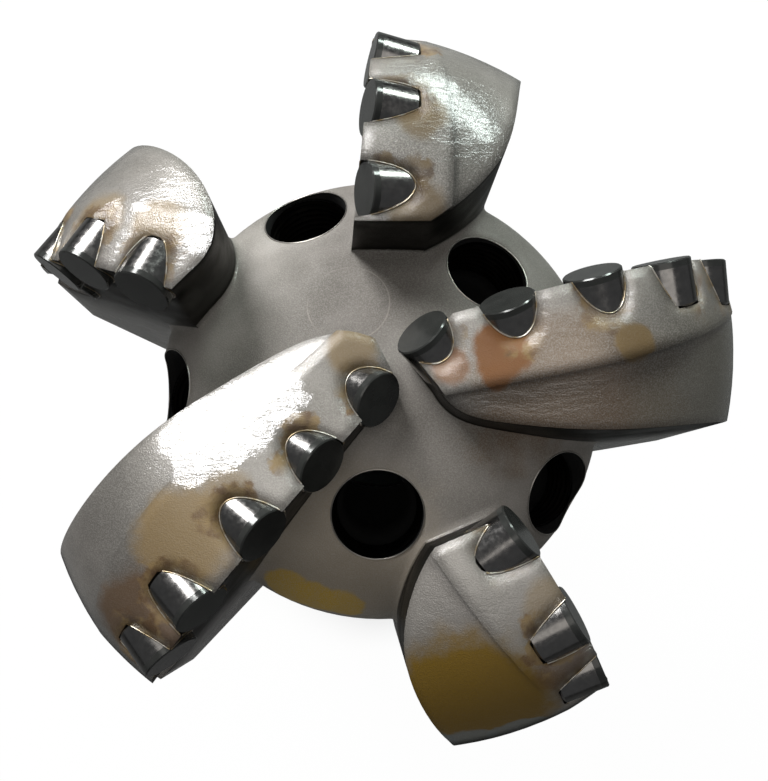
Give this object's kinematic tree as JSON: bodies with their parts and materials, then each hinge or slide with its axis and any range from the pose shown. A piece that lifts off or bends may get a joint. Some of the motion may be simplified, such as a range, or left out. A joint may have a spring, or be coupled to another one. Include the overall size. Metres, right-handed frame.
{
  "type": "pdc drill bit",
  "caption": "Steel-body fixed-cutter drill bit with curved blades, round diamond cutters, open nozzle ports and a tapered threaded pin.",
  "frame": {"origin": "centre of the water bore at the pin's end face, where the bit stands", "axes": "+Z along the bit's axis from the pin end to the nose; +X and +Y across it, with blade C's leading edge at +Y; the bit turns anticlockwise seen from +Z"},
  "size_m": [0.2093, 0.213, 0.307],
  "materials": {
    "crown_steel": "satin, sand blasted and oiled",
    "shank_steel": "satin, turned",
    "weld_steel": "dressed weld bead",
    "insert_carbide": "ground carbide",
    "cutter_carbide": "ground carbide, bright",
    "cutter_diamond": "lapped dark diamond, glossy"
  },
  "bodies": {
    "root": {"crown": "crown_steel", "crown_weld": "weld_steel", "cutter_a1_carbide": "cutter_carbide", "cutter_a1_diamond": "cutter_diamond", "cutter_a2_carbide": "cutter_carbide", "cutter_a2_diamond": "cutter_diamond", "cutter_a3_carbide": "cutter_carbide", "cutter_a3_diamond": "cutter_diamond", "cutter_a4_carbide": "cutter_carbide", "cutter_a4_diamond": "cutter_diamond", "cutter_a5_carbide": "cutter_carbide", "cutter_a5_diamond": "cutter_diamond", "cutter_a6_carbide": "cutter_carbide", "cutter_a6_diamond": "cutter_diamond", "cutter_b1_carbide": "cutter_carbide", "cutter_b1_diamond": "cutter_diamond", "cutter_b2_carbide": "cutter_carbide", "cutter_b2_diamond": "cutter_diamond", "cutter_b3_carbide": "cutter_carbide", "cutter_b3_diamond": "cutter_diamond", "cutter_b4_carbide": "cutter_carbide", "cutter_b4_diamond": "cutter_diamond", "cutter_b5_carbide": "cutter_carbide", "cutter_b5_diamond": "cutter_diamond", "cutter_b6_carbide": "cutter_carbide", "cutter_b6_diamond": "cutter_diamond", "cutter_c1_carbide": "cutter_carbide", "cutter_c1_diamond": "cutter_diamond", "cutter_c2_carbide": "cutter_carbide", "cutter_c2_diamond": "cutter_diamond", "cutter_c3_carbide": "cutter_carbide", "cutter_c3_diamond": "cutter_diamond", "cutter_c4_carbide": "cutter_carbide", "cutter_c4_diamond": "cutter_diamond", "cutter_d1_carbide": "cutter_carbide", "cutter_d1_diamond": "cutter_diamond", "cutter_d2_carbide": "cutter_carbide", "cutter_d2_diamond": "cutter_diamond", "cutter_d3_carbide": "cutter_carbide", "cutter_d3_diamond": "cutter_diamond", "cutter_d4_carbide": "cutter_carbide", "cutter_d4_diamond": "cutter_diamond", "cutter_e1_carbide": "cutter_carbide", "cutter_e1_diamond": "cutter_diamond", "cutter_e2_carbide": "cutter_carbide", "cutter_e2_diamond": "cutter_diamond", "cutter_e3_carbide": "cutter_carbide", "cutter_e3_diamond": "cutter_diamond", "cutter_e4_carbide": "cutter_carbide", "cutter_e4_diamond": "cutter_diamond", "gauge_inserts_a": "insert_carbide", "gauge_inserts_b": "insert_carbide", "gauge_inserts_c": "insert_carbide", "gauge_inserts_d": "insert_carbide", "gauge_inserts_e": "insert_carbide", "shank": "shank_steel"}
  },
  "joints": []
}
